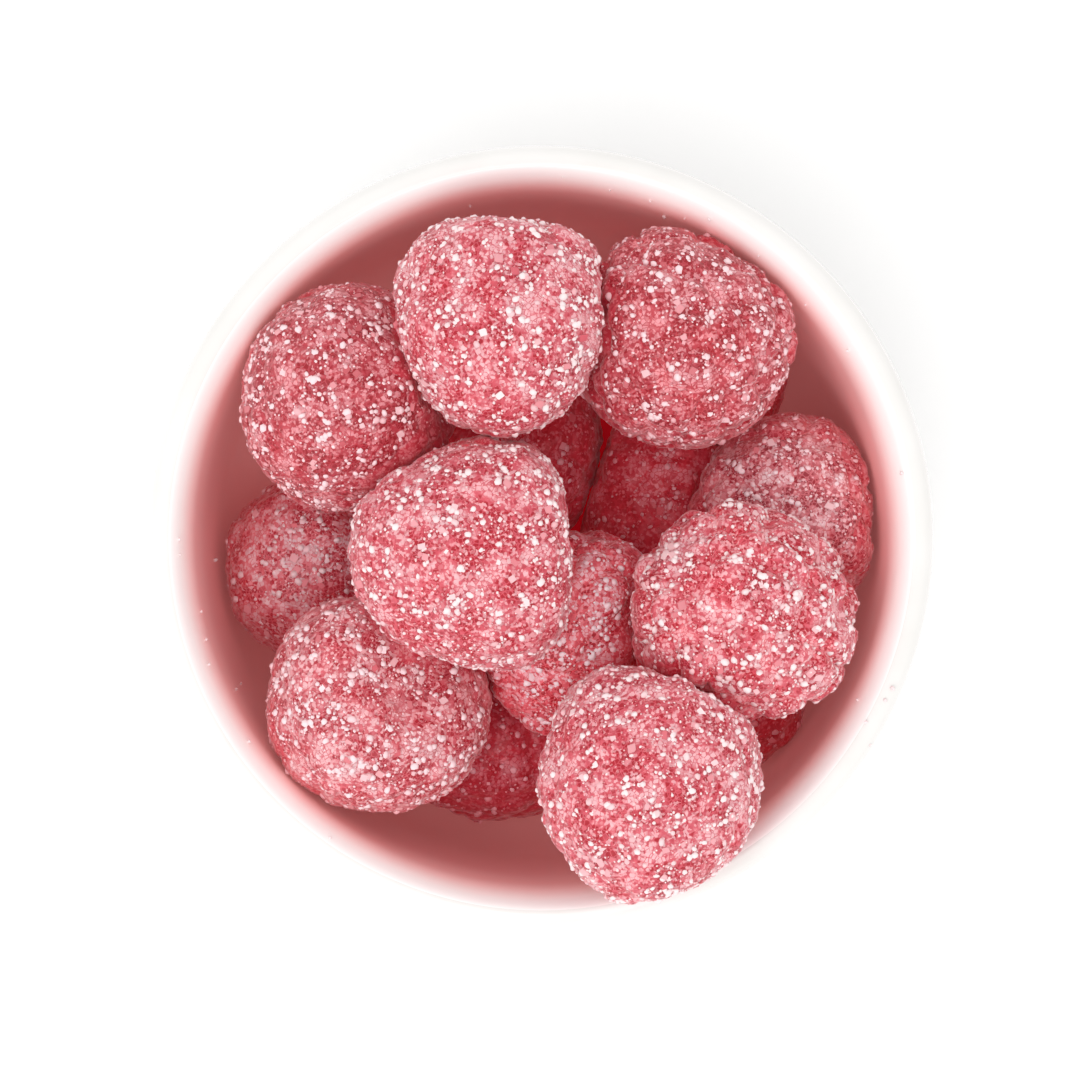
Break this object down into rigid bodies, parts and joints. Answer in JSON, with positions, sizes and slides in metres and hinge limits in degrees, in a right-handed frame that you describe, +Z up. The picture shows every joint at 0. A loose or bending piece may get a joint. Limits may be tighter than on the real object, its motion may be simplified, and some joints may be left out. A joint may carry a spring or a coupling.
{
  "type": "sugared berry gummies in a bowl",
  "caption": "Small round white bowl heaped with berry-shaped gummies, each a soft rounded cone with a crust of coarse sugar.",
  "frame": {"origin": "centre of the foot ring, on the surface that the bowl stands on", "axes": "+Z up; +X to the right and +Y to the top of the picture, which looks straight down"},
  "size_m": [0.082, 0.082, 0.0532],
  "materials": {
    "porcelain": "glossy white glaze",
    "sugared_jelly": "pink-red gummy under a crust of coarse sugar"
  },
  "bodies": {
    "root": {"bowl": "porcelain", "gummy_low_left": "sugared_jelly", "gummy_low_front": "sugared_jelly", "gummy_low_back": "sugared_jelly", "gummy_low_middle": "sugared_jelly", "gummy_low_back_right": "sugared_jelly", "gummy_low_front_right": "sugared_jelly", "gummy_mid_right": "sugared_jelly", "gummy_mid_middle": "sugared_jelly", "gummy_front_left": "sugared_jelly", "gummy_back_left": "sugared_jelly", "gummy_back_right": "sugared_jelly", "gummy_right": "sugared_jelly", "gummy_centre": "sugared_jelly", "gummy_back": "sugared_jelly", "gummy_front": "sugared_jelly"}
  },
  "joints": []
}
